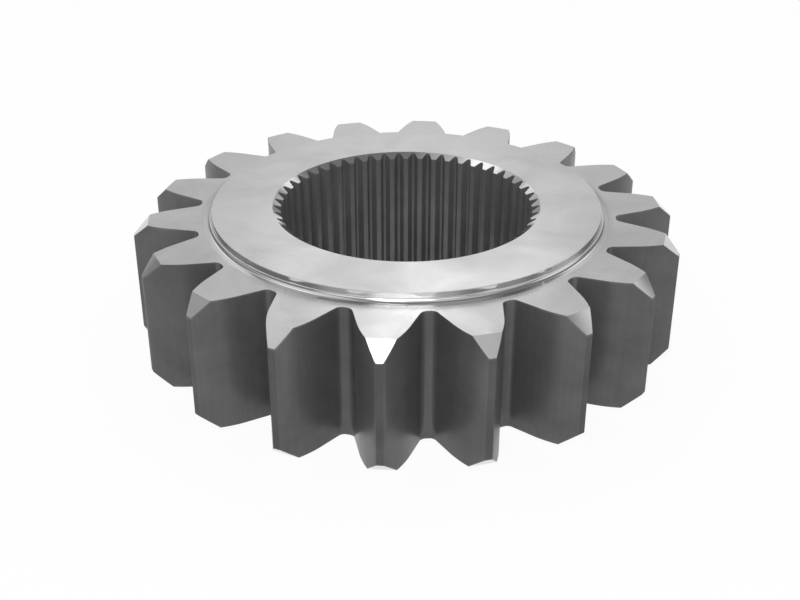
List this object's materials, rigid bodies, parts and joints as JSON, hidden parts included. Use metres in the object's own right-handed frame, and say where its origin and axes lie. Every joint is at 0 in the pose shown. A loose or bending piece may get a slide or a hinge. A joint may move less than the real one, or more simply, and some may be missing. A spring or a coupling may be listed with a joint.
{
  "type": "sun gear",
  "caption": "Spur sun gear: thick toothed ring with raised hub faces, chamfered tooth ends and a wide internally splined through bore.",
  "frame": {"origin": "on the gear's axis, in the plane of the lower hub face it rests on", "axes": "+Z along the gear's axis, away from the face it rests on; +Y through the middle of one tooth"},
  "size_m": [0.1638, 0.166, 0.0466],
  "materials": {
    "gear_steel": "ground and hardened, satin"
  },
  "bodies": {
    "root": {"sun_gear": "gear_steel"}
  },
  "joints": []
}
